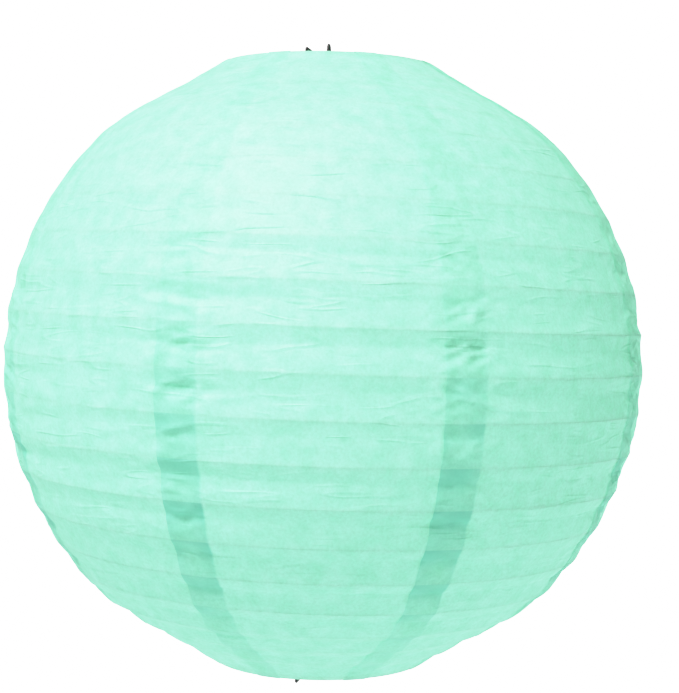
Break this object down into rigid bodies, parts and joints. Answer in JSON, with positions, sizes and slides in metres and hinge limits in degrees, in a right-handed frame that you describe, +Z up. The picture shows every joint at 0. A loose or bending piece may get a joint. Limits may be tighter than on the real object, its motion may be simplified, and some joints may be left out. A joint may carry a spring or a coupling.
{
  "type": "accordion paper lantern",
  "caption": "Round pleatable paper shade on a spiral wire coil with a ring at each end, held open by an inner wire expander with a hanging loop.",
  "frame": {"origin": "the hanging point: on the shade's axis, on the underside of the top of the hanging loop", "axes": "+Z up along the shade's axis, +Y across the expander, from its front leg to its back leg, +X to the right seen from the front leg's side"},
  "size_m": [0.305, 0.305, 0.299],
  "materials": {
    "mint_paper": "matt tissue-like paper dyed mint green, slightly see-through",
    "coil_wire": "bright drawn spring wire",
    "ring_wire": "bright drawn wire",
    "sleeve_tin": "crimped tin-plated sheet",
    "expander_steel": "black lacquered spring wire"
  },
  "bodies": {
    "hanger_and_top": {"expander_hanger": "expander_steel", "top_ring": "ring_wire", "top_ring_sleeve": "sleeve_tin", "paper_gore_1": "mint_paper", "paper_gore_2": "mint_paper", "paper_gore_3": "mint_paper", "paper_gore_4": "mint_paper", "paper_gore_5": "mint_paper", "paper_gore_6": "mint_paper", "paper_gore_7": "mint_paper", "paper_gore_8": "mint_paper"},
    "front_leg": {"expander_leg_front": "expander_steel"},
    "back_leg": {"expander_leg_back": "expander_steel"},
    "bottom_end": {"bottom_ring": "ring_wire", "bottom_ring_sleeve": "sleeve_tin"},
    "turn_01": {"coil_turn_01": "coil_wire"},
    "turn_02": {"coil_turn_02": "coil_wire"},
    "turn_03": {"coil_turn_03": "coil_wire"},
    "turn_04": {"coil_turn_04": "coil_wire"},
    "turn_05": {"coil_turn_05": "coil_wire"},
    "turn_06": {"coil_turn_06": "coil_wire"},
    "turn_07": {"coil_turn_07": "coil_wire"},
    "turn_08": {"coil_turn_08": "coil_wire"},
    "turn_09": {"coil_turn_09": "coil_wire"},
    "turn_10": {"coil_turn_10": "coil_wire"},
    "turn_11": {"coil_turn_11": "coil_wire"},
    "turn_12": {"coil_turn_12": "coil_wire"},
    "turn_13": {"coil_turn_13": "coil_wire"},
    "turn_14": {"coil_turn_14": "coil_wire"},
    "turn_15": {"coil_turn_15": "coil_wire"},
    "turn_16": {"coil_turn_16": "coil_wire"},
    "turn_17": {"coil_turn_17": "coil_wire"},
    "turn_18": {"coil_turn_18": "coil_wire"},
    "turn_19": {"coil_turn_19": "coil_wire"},
    "turn_20": {"coil_turn_20": "coil_wire"}
  },
  "joints": [
    {"name": "collapse", "type": "slide", "parent": "hanger_and_top", "child": "bottom_end", "axis": [0, 0, 1], "range_m": [0, 0.258], "deforming": ["paper_gore_1", "paper_gore_2", "paper_gore_3", "paper_gore_4", "paper_gore_5", "paper_gore_6", "paper_gore_7", "paper_gore_8"]},
    {"name": "front_leg_squeeze", "type": "hinge", "parent": "hanger_and_top", "child": "front_leg", "pos_m": [0, -0.0486, -0.01985], "axis": [1, 0, 0], "range_deg": [0, 2.5], "stiffness_Nm_per_rad": 0.2},
    {"name": "back_leg_squeeze", "type": "hinge", "parent": "hanger_and_top", "child": "back_leg", "pos_m": [0, 0.0486, -0.01985], "axis": [-1, 0, 0], "range_deg": [0, 2.5], "stiffness_Nm_per_rad": 0.2},
    {"name": "turn_01_rise", "type": "slide", "parent": "hanger_and_top", "child": "turn_01", "axis": [0, 0, 1], "range_m": [0, 0.0035]},
    {"name": "turn_02_rise", "type": "slide", "parent": "hanger_and_top", "child": "turn_02", "axis": [0, 0, 1], "range_m": [0, 0.0106]},
    {"name": "turn_03_rise", "type": "slide", "parent": "hanger_and_top", "child": "turn_03", "axis": [0, 0, 1], "range_m": [0, 0.0196]},
    {"name": "turn_04_rise", "type": "slide", "parent": "hanger_and_top", "child": "turn_04", "axis": [0, 0, 1], "range_m": [0, 0.0304]},
    {"name": "turn_05_rise", "type": "slide", "parent": "hanger_and_top", "child": "turn_05", "axis": [0, 0, 1], "range_m": [0, 0.0428]},
    {"name": "turn_06_rise", "type": "slide", "parent": "hanger_and_top", "child": "turn_06", "axis": [0, 0, 1], "range_m": [0, 0.0566]},
    {"name": "turn_07_rise", "type": "slide", "parent": "hanger_and_top", "child": "turn_07", "axis": [0, 0, 1], "range_m": [0, 0.0715]},
    {"name": "turn_08_rise", "type": "slide", "parent": "hanger_and_top", "child": "turn_08", "axis": [0, 0, 1], "range_m": [0, 0.0874]},
    {"name": "turn_09_rise", "type": "slide", "parent": "hanger_and_top", "child": "turn_09", "axis": [0, 0, 1], "range_m": [0, 0.104]},
    {"name": "turn_10_rise", "type": "slide", "parent": "hanger_and_top", "child": "turn_10", "axis": [0, 0, 1], "range_m": [0, 0.1209]},
    {"name": "turn_11_rise", "type": "slide", "parent": "hanger_and_top", "child": "turn_11", "axis": [0, 0, 1], "range_m": [0, 0.1381]},
    {"name": "turn_12_rise", "type": "slide", "parent": "hanger_and_top", "child": "turn_12", "axis": [0, 0, 1], "range_m": [0, 0.155]},
    {"name": "turn_13_rise", "type": "slide", "parent": "hanger_and_top", "child": "turn_13", "axis": [0, 0, 1], "range_m": [0, 0.1716]},
    {"name": "turn_14_rise", "type": "slide", "parent": "hanger_and_top", "child": "turn_14", "axis": [0, 0, 1], "range_m": [0, 0.1875]},
    {"name": "turn_15_rise", "type": "slide", "parent": "hanger_and_top", "child": "turn_15", "axis": [0, 0, 1], "range_m": [0, 0.2024]},
    {"name": "turn_16_rise", "type": "slide", "parent": "hanger_and_top", "child": "turn_16", "axis": [0, 0, 1], "range_m": [0, 0.2162]},
    {"name": "turn_17_rise", "type": "slide", "parent": "hanger_and_top", "child": "turn_17", "axis": [0, 0, 1], "range_m": [0, 0.2286]},
    {"name": "turn_18_rise", "type": "slide", "parent": "hanger_and_top", "child": "turn_18", "axis": [0, 0, 1], "range_m": [0, 0.2394]},
    {"name": "turn_19_rise", "type": "slide", "parent": "hanger_and_top", "child": "turn_19", "axis": [0, 0, 1], "range_m": [0, 0.2484]},
    {"name": "turn_20_rise", "type": "slide", "parent": "hanger_and_top", "child": "turn_20", "axis": [0, 0, 1], "range_m": [0, 0.2555]}
  ],
  "couplings": [
    {"joint": "turn_01_rise", "follows": "collapse", "ratio": 0.011487},
    {"joint": "turn_02_rise", "follows": "collapse", "ratio": 0.039011},
    {"joint": "turn_03_rise", "follows": "collapse", "ratio": 0.074006},
    {"joint": "turn_04_rise", "follows": "collapse", "ratio": 0.11588},
    {"joint": "turn_05_rise", "follows": "collapse", "ratio": 0.16393},
    {"joint": "turn_06_rise", "follows": "collapse", "ratio": 0.21738},
    {"joint": "turn_07_rise", "follows": "collapse", "ratio": 0.27536},
    {"joint": "turn_08_rise", "follows": "collapse", "ratio": 0.33693},
    {"joint": "turn_09_rise", "follows": "collapse", "ratio": 0.40111},
    {"joint": "turn_10_rise", "follows": "collapse", "ratio": 0.46686},
    {"joint": "turn_11_rise", "follows": "collapse", "ratio": 0.53314},
    {"joint": "turn_12_rise", "follows": "collapse", "ratio": 0.59889},
    {"joint": "turn_13_rise", "follows": "collapse", "ratio": 0.66307},
    {"joint": "turn_14_rise", "follows": "collapse", "ratio": 0.72464},
    {"joint": "turn_15_rise", "follows": "collapse", "ratio": 0.78261},
    {"joint": "turn_16_rise", "follows": "collapse", "ratio": 0.83606},
    {"joint": "turn_17_rise", "follows": "collapse", "ratio": 0.88412},
    {"joint": "turn_18_rise", "follows": "collapse", "ratio": 0.92599},
    {"joint": "turn_19_rise", "follows": "collapse", "ratio": 0.96099},
    {"joint": "turn_20_rise", "follows": "collapse", "ratio": 0.98851}
  ]
}
